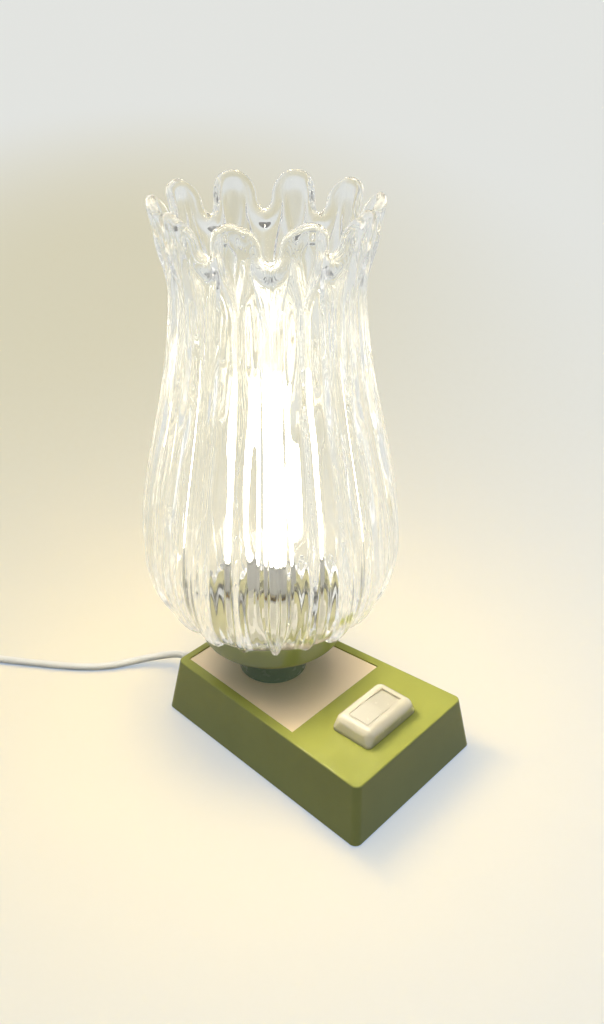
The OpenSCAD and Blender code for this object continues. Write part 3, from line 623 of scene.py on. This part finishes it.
@dataclass
class Studio:
    """Camera, pale floor and soft light."""

    eye: Point = (-0.3804, -0.3292, 0.4622)
    yaw: float = 48.45
    pitch: float = 30.70
    roll: float = 0.21
    lens: float = 36.18
    sensor: float = 36.0
    far: float = 100.0
    bounces: int = 32
    floor_size: float = 30.0
    floor_points: int = 9
    floor_drop: float = 0.0002
    floor_roughness: float = 0.9
    floor_gloss: float = 0.1
    floor_colour: Colour = (0.56, 0.43, 0.12)
    floor_lift: Colour = (0.34, 0.44, 0.64)
    # Painted lamp light: the floor's colour and emission turn to a warm beige in a patch round the lamp.
    painted_glow_colour: Colour = (0.60, 0.42, 0.08)
    painted_glow_lift: Colour = (0.22, 0.31, 0.41)
    glow_centre: Pair = (0.468, 0.824)
    glow_size: Pair = (0.8, 0.4)
    glow_fade: Pair = (0.2, 2.0)
    key_from: Point = (0.25, 0.55, 2.2)
    key_spread: float = 50.0
    key_power: float = 1.0
    key_colour: Colour = (1.0, 0.90, 0.74)
    sky: Stops = ((0.0, (0.07, 0.08, 0.10)), (0.35, (0.14, 0.16, 0.20)), (1.0, (0.75, 0.83, 0.97)))
    room: Stops = ((0.0, (0.85, 0.84, 0.80)), (0.3, (0.66, 0.66, 0.65)), (1.0, (0.36, 0.38, 0.42)))
    room_lumps: float = 1.8
    lump_detail: float = 1.0
    lump_range: Pair = (0.42, 0.58)
    room_shade: Pair = (0.25, 1.5)
    backdrop: Colour = (0.775, 0.785, 0.75)

    def camera(self) -> None:
        """The photographed view: a camera that looks down along its yaw and pitch."""
        data = bpy.data.cameras.new("camera")
        data.lens = self.lens
        data.sensor_width = self.sensor
        data.clip_end = self.far
        obj = bpy.data.objects.new("camera", data)
        place = Matrix.Translation(Vector(self.eye))
        for degrees, axis in ((-self.yaw, "Z"), (90 - self.pitch, "X"), (self.roll, "Z")):
            place = place @ Matrix.Rotation(math.radians(degrees), 4, axis)
        obj.matrix_world = place
        bpy.context.scene.collection.objects.link(obj)
        bpy.context.scene.camera = obj

    def floor(self) -> None:
        """A wide pale floor with a painted pool of warm lamp light behind the lamp."""
        h = self.floor_size / 2
        a = np.linspace(-h, h, self.floor_points)
        x, y = np.meshgrid(a, a)
        obj = grid_object("floor", np.stack([x, y, 0 * x - self.floor_drop], -1), wrap_cols=False)
        s = Sketch("pale_floor")
        patch = s.seen_from((*self.glow_centre, 0.0), math.radians(90 - self.yaw), (*self.glow_size, 1.0))
        fade = s.range(s.length(patch), 0, 1, *self.glow_fade)
        fade.node.interpolation_type = "SMOOTHSTEP"
        # The painted warm glow of the lamp on the floor, which fades out away from the lamp.
        s.join(s.blend(fade, self.painted_glow_colour, self.floor_colour), s.shader.inputs["Base Color"])
        s.join(s.blend(fade, self.painted_glow_lift, self.floor_lift), s.shader.inputs["Emission Color"])
        s.set(Roughness=self.floor_roughness, Specular_IOR_Level=self.floor_gloss, Emission_Strength=1.0)
        obj.data.materials.append(s.material)
        obj.visible_diffuse = False

    def key(self) -> None:
        """A broad soft sun from above."""
        data = bpy.data.lights.new("key", "SUN")
        data.angle = math.radians(self.key_spread)
        data.energy = self.key_power
        data.color = self.key_colour
        obj = bpy.data.objects.new("key", data)
        obj.matrix_world = Vector(self.key_from).to_track_quat("Z", "Y").to_matrix().to_4x4()
        bpy.context.scene.collection.objects.link(obj)

    def world(self) -> None:
        """A cool sky that lights the scene, a room that gloss and glass show, and a plain backdrop.

        The room is lighter and darker in parts. Only camera rays see the backdrop.
        """
        world = bpy.data.worlds.new("studio")
        world.use_nodes = True
        nodes, links = world.node_tree.nodes, world.node_tree.links
        coords = nodes.new("ShaderNodeTexCoord").outputs["Generated"]
        split = nodes.new("ShaderNodeSeparateXYZ")
        links.new(coords, split.inputs["Vector"])
        light = nodes["Background"]
        links.new(self.ramp(nodes, links, split.outputs["Z"], self.sky), light.inputs["Color"])
        room = nodes.new("ShaderNodeBackground")
        links.new(self.ramp(nodes, links, split.outputs["Z"], self.room), room.inputs["Color"])
        lumps = nodes.new("ShaderNodeTexNoise")
        lumps.inputs["Scale"].default_value = self.room_lumps
        lumps.inputs["Detail"].default_value = self.lump_detail
        links.new(coords, lumps.inputs["Vector"])
        shade = nodes.new("ShaderNodeMapRange")
        for socket, value in zip(RANGE_SOCKETS, (*self.lump_range, *self.room_shade)):
            shade.inputs[socket].default_value = value
        links.new(lumps.outputs["Fac"], shade.inputs["Value"])
        links.new(shade.outputs["Result"], room.inputs["Strength"])
        path = nodes.new("ShaderNodeLightPath")
        either = nodes.new("ShaderNodeMath")
        either.operation = "MAXIMUM"
        links.new(path.outputs["Is Glossy Ray"], either.inputs[0])
        links.new(path.outputs["Is Transmission Ray"], either.inputs[1])
        plain = nodes.new("ShaderNodeBackground")
        plain.inputs["Color"].default_value = (*self.backdrop, 1)
        surface = light.outputs["Background"]
        for seen, shown in ((either.outputs["Value"], room), (path.outputs["Is Camera Ray"], plain)):
            mixed = nodes.new("ShaderNodeMixShader")
            links.new(seen, mixed.inputs["Fac"])
            links.new(surface, mixed.inputs[1])
            links.new(shown.outputs["Background"], mixed.inputs[2])
            surface = mixed.outputs["Shader"]
        links.new(surface, nodes["World Output"].inputs["Surface"])
        bpy.context.scene.world = world

    def ramp(self, nodes: bpy.types.Nodes, links: bpy.types.NodeLinks, height: Socket,
             stops: Stops) -> Socket:
        """A colour that changes with height over the horizon.

        Args:
            nodes: the world's nodes.
            links: the world's links.
            height: the direction's height, from -1 to 1.
            stops: heights from 0 to 1 with their linear colours.

        Returns:
            The colour.
        """
        node = nodes.new("ShaderNodeValToRGB")
        parts = node.color_ramp.elements
        parts.remove(parts[1])
        for i, (place, colour) in enumerate(stops):
            part = parts[0] if i == 0 else parts.new(place)
            part.position = place
            part.color = (*colour, 1)
        links.new(height, node.inputs["Fac"])
        return node.outputs["Color"]

    def build(self) -> None:
        """Sets the whole studio up."""
        bpy.context.scene.view_settings.view_transform = "Standard"
        self.camera()
        self.floor()
        self.key()
        self.world()
        paths = bpy.context.scene.cycles
        paths.max_bounces = paths.transmission_bounces = paths.glossy_bounces = self.bounces


# Cord


@dataclass
class MainsCord:
    """Round mains cord: a free stretch, a coil of two layers and the plug on top of it, in millimetres."""

    diameter: float = 5.0
    sides: int = 16
    turns: float = 3.6
    step: float = 5.5
    inner_r: float = 20.5
    tuck: float = 0.9
    level: float = 3.4
    climb: float = 70.0
    cross_over: float = 70.0
    approach: float = 60.0
    crossing: float = 14.0
    angle_step: float = 7.5
    plug_z: float = 18.55
    tail: float = 8.0
    tail_points: int = 5
    curve_steps: int = 6
    exit: Point = (-14.0, 98.2, 13.0)
    route: tuple[Point, ...] = (
        (-14, 101.9, 13), (-14.2, 106.6, 12.5), (-15.4, 111.4, 11.1), (-18.2, 116.6, 9.4),
        (-22.8, 122.4, 7.7), (-29.2, 128.8, 6), (-37, 135.4, 4.3), (-45.4, 142, 3),
        (-53.4, 149.2, 2.5), (-60.4, 156.6, 2.5), (-66.5, 164.4, 2.5), (-72.4, 172.8, 2.5),
        (-78, 181.4, 2.5), (-83.6, 190, 2.5), (-89.2, 198.6, 2.6), (-94.8, 207.2, 2.9),
        (-100.4, 215.8, 3.2), (-106, 224.4, 3.4), (-111.6, 233, 3.4), (-117.2, 241.6, 3.4))

    def coil(self) -> np.ndarray:
        """The coil's line, from the end of the route to the plug.

        It spirals in, tucks and climbs a layer in half a turn, spirals out and rises to the plug.

        Returns:
            Points in millimetres.
        """
        end = np.array(self.route[-1], float)
        ahead = end - np.array(self.route[-2], float)
        ahead /= np.linalg.norm(ahead)
        start = math.degrees(math.atan2(ahead[1], ahead[0])) - 90
        outer = self.inner_r + self.step * self.turns
        first = end + self.diameter * ahead
        centre = first[:2] - outer * np.array([math.cos(math.radians(start)), math.sin(math.radians(start))])
        inward = 360 * self.turns
        turned_at, outward_at = inward + 180, 2 * inward + 180
        last = outward_at + self.climb + self.cross_over + self.approach
        a = np.linspace(0, last, int(last // self.angle_step) + 1)
        up = a - outward_at
        r = np.select(
            [a < inward, a < turned_at, a < outward_at],
            [outer - self.step * a / 360, self.inner_r - self.tuck * np.sin(np.radians(a - inward)),
             self.inner_r + self.step * (a - turned_at) / 360],
            outer + self.tuck * np.sin(np.pi * np.clip(up / self.climb, 0, 1))
            - self.crossing * ease((up - self.climb) / (self.cross_over + self.approach)))
        z = self.level + self.step * (ease((a - inward) / 180) + ease(up / self.climb))
        lift = self.plug_z - self.level - 2 * self.step
        z += lift * ease((up - self.climb - self.cross_over) / self.approach)
        turn = np.radians(start + a)
        line = np.stack([centre[0] + r * np.cos(turn), centre[1] + r * np.sin(turn), z], -1)
        heading = np.array([-np.sin(turn[-1]), np.cos(turn[-1]), 0.0])
        share = np.linspace(1 / self.tail_points, 1, self.tail_points)[:, None]
        return np.concatenate([line, line[-1] + heading * share * self.tail])

    def build(self) -> None:
        """Makes the cord in one tube."""
        free = catmull(np.array([self.exit, *self.route], float), self.curve_steps)
        path = np.concatenate([free, self.coil()]) * MM
        piece = swept("mains_cord", path, np.full(len(path), self.diameter / 2 * MM), self.sides)
        SHEATH.dress(piece)
        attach(piece, Body.BASE.value)
        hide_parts("cord", "cord_coil")
        SHEATH.dress_nodes("plug_body", "coil_tie", "cord_grommet", "cord_inner", "cord_clamp")
        STEEL.dress_nodes("plug_pins", "clamp_screws")
        BLACK.dress_nodes("inner_leads")


# Lamp


@dataclass
class LampBase:
    """Moulded base with its inset plate, bottom plate and felt."""

    def build(self) -> None:
        """Dresses the base's CAD nodes."""
        GREEN.dress_nodes("base_shell")
        BRONZE.dress_nodes("inset_plate")
        STEEL.dress_nodes("bottom_plate", "bottom_screws")
        FELT.dress_nodes("base_felt")
        LOG.info("base dressed")


@dataclass(frozen=True)
class Cup:
    """A round cup with a hole in its floor, in millimetres.

    Its edges are the roundings of the outer foot, the outer rim, the inner rim and the inner corner.
    """

    radius: float
    wall: float
    floor: float
    hole: float
    z: Pair
    edges: tuple[float, float, float, float]
    steps: int
    segments: int
    hole_edge: float = 0.1

    def build(self, name: str) -> bpy.types.Object:
        """Turns the cup about the lamp's axis.

        Args:
            name: the piece's name.

        Returns:
            The new object.
        """
        low, high = self.z
        inner, step = self.radius - self.wall, low + self.floor
        foot, rim, lip, corner = self.edges
        corners = [(self.hole, low, self.hole_edge), (self.radius, low, foot), (self.radius, high, rim),
                   (inner, high, lip), (inner, step, corner), (self.hole, step, self.hole_edge)]
        return turned(name, rounded(corners, self.steps), self.segments)


@dataclass
class NeckAndDish:
    """Neck, dish and rubber seat, turned about the lamp's axis."""

    neck: Cup = Cup(radius=21.5, wall=2.5, floor=3.0, hole=5.3, z=(37.6, 66.5), edges=(0.4, 0.3, 0.2, 0.5),
                    steps=8, segments=96)
    dish: Cup = Cup(radius=45.0, wall=2.5, floor=2.5, hole=14.05, z=(66.5, 84.5), edges=(4.0, 1.2, 1.2, 1.0),
                    steps=12, segments=128)

    def build(self) -> None:
        """Makes the neck and the dish as smooth turned pieces."""
        neck, dish = self.neck.build("neck"), self.dish.build("dish")
        DARK_GREEN.dress(neck)
        DISH_GREEN.dress(dish)
        for piece, node in ((neck, "neck_sleeve"), (dish, "shade_dish")):
            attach(piece, Body.BASE.value)
            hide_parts(node)
        RUBBER.dress_nodes("seat_ring")
        LOG.info("neck and dish")


@dataclass
class GlassShade:
    """Pressed-glass tulip: petals with a rolled rim, crowned panels and fluted ribs, in millimetres.

    A wave of the inner face is its number round the axis, its size, its sway with height and its start. A
    wander, which sways the waves, is its length along the height, its size and its start.
    """

    petals: int = 10
    rib_turn: float = 225.0
    foot_z: float = 70.5
    foot_top: float = 85.1
    belly_z: float = 139.5
    waist_z: float = 297.5
    flare_z: Pair = (285.0, 335.0)
    fan_z: float = 286.0
    tip_z: float = 336.0
    foot_r: float = 41.5
    belly_r: float = 74.0
    waist_r: float = 49.9
    rim_r: float = 59.5
    shoulder_bend: float = 0.88
    wall: float = 3.2
    petal_w: float = 11.4
    petal_h: float = 12.0
    notch_h: float = 8.0
    half_w: float = 18.69
    lean: float = 20.0
    pinch: float = 9.0
    pinch_start: float = 0.3
    panel_share: float = 0.6255
    foot_share: float = 0.86
    taper_h: float = 48.0
    crown: float = 0.6
    crown_power: float = 2.5
    ridge_h: float = 1.7
    ridge_w: float = 2.4
    ridge_part: float = 0.72
    ridge_end: float = 14.0
    rib_h: float = 2.6
    rib_power: int = 3
    rib_swell: float = 0.15
    rib_swell_h: float = 12.0
    flute_h: float = 0.16
    flute_power: int = 6
    flutes: float = 6.0
    bead: Pair = (2.7, 4.4)
    bead_blend: float = 5.5
    relief_rise: float = 5.0
    relief_fade: float = 15.0
    slope_step: float = 0.1
    slope_fade: float = 20.0
    waves: Waves = ((19, 1.0, 2.1, 0.0), (34, 0.7, -2.6, 0.8), (57, 0.15, 3.1, 2.0))
    wanders: Waves = ((38, 1.0, 0.0), (21, 0.5, 1.0))
    wave_h: float = 0.33
    wave_grow: float = 60.0
    wave_rise: float = 10.0
    wave_fall: float = 20.0
    reeds: int = 80
    reed_h: float = 0.2
    reed_sway: float = 0.8
    reed_rise: float = 4.0
    reed_fall: float = 60.0
    reed_end: float = 40.0
    column_steps: tuple[int, int, int] = (10, 6, 12)
    wall_rows: int = 64
    row_spread: Pair = (0.6, 0.4)
    fan_rows: int = 34
    roll_steps: int = 13
    sharp: float = 60.0

    def outline(self, z: np.ndarray) -> np.ndarray:
        """Outer radius at a height: a bowl, then a cosine shoulder with a flare added.

        Args:
            z: height in millimetres.

        Returns:
            Radius in millimetres.
        """
        bowl = self.foot_r + (self.belly_r - self.foot_r) * np.sqrt(
            np.clip(1 - np.clip((self.belly_z - z) / (self.belly_z - self.foot_top), 0, 1) ** 2, 0, 1))
        t = np.clip((z - self.belly_z) / (self.waist_z - self.belly_z), 0, 1)
        bend = (1 + np.cos(np.pi * t ** self.shoulder_bend)) / 2
        shoulder = self.waist_r + (self.belly_r - self.waist_r) * bend
        return np.where(z < self.belly_z, bowl, shoulder + (self.rim_r - self.waist_r) * self.flare(z))

    def flare(self, z: np.ndarray) -> np.ndarray:
        """Share of the flare at a height: a smooth step between its two heights."""
        return ease((z - self.flare_z[0]) / (self.flare_z[1] - self.flare_z[0]))

    def columns(self) -> np.ndarray:
        """Column numbers of one petal: 0 on its middle, 1 where panel meets rib, 2 on the rib's middle.

        Returns:
            The numbers from one rib's middle up to the next one, which is left out.
        """
        middle, panel, rib = self.column_steps
        k = np.concatenate([np.linspace(0, 0.5, middle), np.linspace(0.5, 1, panel)[1:],
                            np.linspace(1, 2, rib)[1:]])
        return np.concatenate([-k[:0:-1], k[:-1]])

    def across(self, m: np.ndarray, share: float | np.ndarray) -> np.ndarray:
        """Distance of columns from the petal's middle, where the panel has a share of the half width."""
        return self.half_w * (share * np.minimum(m, 1) + (1 - share) * np.clip(m - 1, 0, 1))

    def lines(self, k: np.ndarray, steps: int) -> tuple[np.ndarray, np.ndarray, np.ndarray]:
        """The petals laid flat: each column rises as a Hermite curve and meets the rim square.

        The rim is a half ellipse over the panel and a hollow quarter ellipse down to the rib's middle.

        Args:
            k: column numbers.
            steps: points along each column.

        Returns:
            Points (across, up) from the fan's height to the rim, the rim's outward directions, and how far
            each point is from the rim, in millimetres.
        """
        side, m = np.sign(k), np.abs(k)
        across = self.across(m, self.panel_share)
        bead = self.bead_at(k)
        turn = np.radians(90 * np.where(m < 1, m, m - 1))
        side_z = self.tip_z - self.bead[0] - self.petal_h
        gap = self.half_w - self.petal_w
        out = np.where(m < 1, np.sin(turn), np.cos(turn))
        up = np.where(m < 1, np.cos(turn), np.sin(turn))
        rim_w = np.where(m < 1, self.petal_w * np.sin(turn), self.half_w - gap * np.cos(turn))
        rim_z = np.where(m < 1, side_z + self.petal_h * np.cos(turn), side_z - self.notch_h * np.sin(turn))
        rim_z = rim_z - (bead - self.bead[0])
        t = np.linspace(0, 1, steps)[:, None]
        h1, h2, h3 = t ** 3 - 2 * t ** 2 + t, 3 * t ** 2 - 2 * t ** 3, t ** 3 - t ** 2
        w = across + (rim_w - across) * h2 + self.lean * out * h3
        z = self.fan_z + (rim_z - self.fan_z) * (h1 + h2) + self.lean * up * h3
        way = np.hypot(np.diff(w, axis=0), np.diff(z, axis=0))
        left = np.concatenate([np.cumsum(way[::-1], 0)[::-1], np.zeros((1, way.shape[1]))])
        return np.stack([w * side, z], -1), np.stack([out * side, up], -1), left

    def bead_at(self, k: np.ndarray) -> np.ndarray:
        """Radius of the rolled rim on each column, larger in the dips."""
        return self.bead[0] + (self.bead[1] - self.bead[0]) * ease(np.abs(k) - 1)

    def relief(self, k: np.ndarray, w: np.ndarray, z: np.ndarray) -> np.ndarray:
        """Height of the pattern: a panel with a ridge that parts towards the petal, or a rib with flutes.

        Args:
            k: column numbers.
            w: distance from the petal's middle, in millimetres.
            z: height in millimetres.

        Returns:
            Height over the wall, in millimetres.
        """
        m = np.abs(k)
        edge = np.clip(2 - m, 0, 1)
        swell = 1 + self.rib_swell * np.exp(-((z - self.foot_top) / self.rib_swell_h) ** 2)
        rib = self.rib_h * swell * (1 - edge ** self.rib_power)
        rib = rib + self.flute_h * np.cos(np.pi * self.flutes * edge) * (1 - edge ** self.flute_power)
        parting = ease((z - self.fan_z) / (self.tip_z - self.ridge_end - self.fan_z))
        apart = self.petal_w * self.ridge_part * parting
        ridge = self.ridge_h * np.exp(-((np.abs(w) - apart) / self.ridge_w) ** 2)
        return np.where(m < 1, self.crown * (1 - m ** self.crown_power) + ridge, rib)

    def points(self) -> np.ndarray:
        """The glass as one closed section on each column: up the outside, over the rim and down the inside.

        Below the fan the columns are upright. The wall's middle follows the outline, pinched in at the ribs
        towards the rim, its half thickness swells to the rolled rim, and the outside adds the relief.

        Returns:
            Array of rows by columns by 3, in metres.
        """
        k = self.columns()
        flat, out, left = self.lines(k, self.fan_rows)
        a = np.linspace(0, 1, self.wall_rows)[:-1]
        climb = self.row_spread[0] * a + self.row_spread[1] * a ** 2
        low = np.concatenate([[self.foot_z], self.foot_top + (self.fan_z - self.foot_top) * climb])
        taper = 1 - ease((low - self.foot_top) / self.taper_h)
        share = (self.panel_share + (self.foot_share - self.panel_share) * taper)[:, None]
        across = np.sign(k) * self.across(np.abs(k), share)
        below = np.stack(np.broadcast_arrays(across, low[:, None]), -1)
        w, z = np.moveaxis(np.concatenate([below, flat]), -1, 0)
        left = np.concatenate([np.full(below.shape[:2], np.inf), left])
        bead = self.bead_at(k)
        half = self.wall / 2 + (bead - self.wall / 2) * np.exp(-(left / self.bead_blend) ** 2)
        reach = np.abs(w) / self.half_w * (1 + self.pinch_start) - self.pinch_start
        middle = self.outline(z) - self.wall / 2 - self.pinch * ease(reach) * self.flare(z)
        shown = ease((z - self.foot_top) / self.relief_rise) * ease(left / self.relief_fade)
        raised = shown * self.relief(k, w, z)
        step = self.slope_step
        slope = (self.outline(z + step) - self.outline(z - step)) / (2 * step)
        slope = slope * ease((self.belly_z - z) / self.slope_fade)
        facing = np.sqrt(1 + slope ** 2)
        outer = np.stack([w, middle + half + raised / facing, z - raised * slope / facing], -1)
        inner = np.stack([w, middle - half, z], -1)
        keep = np.r_[0:len(low):2, len(low):len(z):2]
        t = np.linspace(0, np.pi, self.roll_steps)[1:-1, None]
        roll = np.stack([w[-1] + bead * np.sin(t) * out[:, 0], middle[-1] + bead * np.cos(t),
                         z[-1] + bead * np.sin(t) * out[:, 1]], -1)
        one = np.concatenate([outer, roll, inner[keep][::-1]])
        inside = (np.arange(len(one)) >= len(outer) + len(roll))[:, None, None]
        w, r, z = np.moveaxis(one, -1, 0)[:, :, None, :]
        odd = 2 * np.arange(self.petals) + 1
        first = np.radians(self.rib_turn + odd * 180 / self.petals)[None, :, None]
        angle = first + w / self.half_w * np.pi / self.petals
        r = r + inside * self.ripple(angle, z)
        pts = np.stack([r * np.cos(angle), AXIS_Y + r * np.sin(angle), z + 0 * angle], -1) * MM
        return pts.reshape(len(one), -1, 3)

    def ripple(self, angle: np.ndarray, z: np.ndarray) -> np.ndarray:
        """Waviness of the inner face: waves round the axis that sway with height, and fine reeds low down.

        Args:
            angle: angle round the axis in radians.
            z: height in millimetres.

        Returns:
            Shift of the inner face, in millimetres.
        """
        wander = sum(size * np.sin(z / length + start) for length, size, start in self.wanders)
        waves = sum(size * np.sin(count * angle + sway * wander + start)
                    for count, size, sway, start in self.waves)
        height = self.wave_h * (1 + ease((z - self.belly_z) / self.wave_grow))
        wide = height * waves / sum(size for _, size, _, _ in self.waves)
        reeds = self.reed_h * np.sin(self.reeds * angle + self.reed_sway * wander)
        wide = wide * band(z, self.foot_top, self.wave_rise, self.fan_z + self.wave_fall, self.wave_fall)
        end = self.belly_z + self.reed_end
        return wide + reeds * band(z, self.foot_top, self.reed_rise, end, self.reed_fall)

    def build(self) -> None:
        """Makes the shade, which stays out of shadows so that light passes through it."""
        piece = outward(grid_object("tulip_glass", self.points(), wrap_rows=True, sharp_deg=self.sharp))
        GLASS.dress(piece)
        piece.visible_shadow = False
        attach(piece, Body.SHADE.value)
        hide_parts("glass_shade")
        LOG.info("shade: %d faces", len(piece.data.polygons))


@dataclass
class Bulb:
    """Lit tubular bulb on a grey housing, in its holder, in millimetres.

    The housing's outline is a stem, over the housing's lower end, and a collar with a groove, measured from
    the upper outer edge. A corner is its radius, its height and its rounding.
    """

    core: float = 0.05
    core_edge: float = 0.02
    tube_r: float = 16.5
    tube_z: Pair = (123.0, 239.0)
    tube_edge: float = 0.3
    tube_flat: float = 1.2
    tube_steps: int = 16
    housing_r: float = 17.5
    housing_z: Pair = (95.0, 123.0)
    stem: tuple[Point, ...] = ((8.4, 0.0, 0.4), (10.5, 2.2, 0.8), (17.5, 8.0, 1.2))
    collar: tuple[Point, ...] = ((0.0, -1.6, 0.3), (-0.5, -1.4, 0.2), (-0.5, -1.0, 0.2), (0.0, -0.8, 0.3),
                                 (0.0, 0.0, 0.3))
    housing_steps: int = 5
    segments: int = 64

    def spindle(self, name: str, z: Pair, corners: list[Point], steps: int) -> bpy.types.Object:
        """A solid turned piece, closed near the axis at both ends.

        Args:
            name: the piece's name.
            z: its lower and upper end.
            corners: its outline from the lower to the upper end, as (r, z, rounding).
            steps: points along each rounded corner.

        Returns:
            The new object.
        """
        ends = [(self.core, end, self.core_edge) for end in z]
        return turned(name, rounded([ends[0], *corners, ends[1]], steps), self.segments)

    def build(self) -> None:
        """Makes the glowing tube and its housing, and dresses the holder's nodes."""
        low, high = self.tube_z
        corners = [(self.tube_r, low, self.tube_edge), (self.tube_r, high, self.tube_r - self.tube_flat)]
        tube = self.spindle("lit_bulb_tube", self.tube_z, corners, self.tube_steps)
        low, high = self.housing_z
        corners = [(r, low + z, edge) for r, z, edge in self.stem]
        corners += [(self.housing_r + r, high + z, edge) for r, z, edge in self.collar]
        body = self.spindle("bulb_collar", self.housing_z, corners, self.housing_steps)
        LIT.dress(tube)
        GREY.dress(body)
        for piece, node in ((tube, "bulb_tube"), (body, "bulb_housing")):
            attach(piece, Body.BULB.value)
            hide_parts(node)
        STEEL.dress_nodes("bulb_cap", "cap_contact", "threaded_tube", "tube_washer", "tube_nut")
        BLACK.dress_nodes("cap_insulator")
        WHITE.dress_nodes("holder_base", "holder_shell", "ring_nut", "holder_insert")
        BRASS.dress_nodes("screw_sleeve", "centre_contact")
        LOG.info("bulb and holder")


@dataclass
class SwitchUnit:
    """Cream rocker switch."""

    def build(self) -> None:
        """Dresses the switch's nodes."""
        CREAM.dress_nodes("switch_frame", "switch_rocker")
        BLACK.dress_nodes("switch_body")
        STEEL.dress_nodes("rocker_pin", "plunger_spring")
        BRASS.dress_nodes("rocker_plunger", "contact_lever", "lever_bracket", "fixed_contact")
        LOG.info("switch dressed")


def main() -> None:
    logging.basicConfig(level=logging.INFO, format="%(message)s")
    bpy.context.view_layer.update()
    for part in (Studio(), MainsCord(), LampBase(), NeckAndDish(), GlassShade(), Bulb(), SwitchUnit()):
        part.build()


if __name__ == "__main__":
    main()
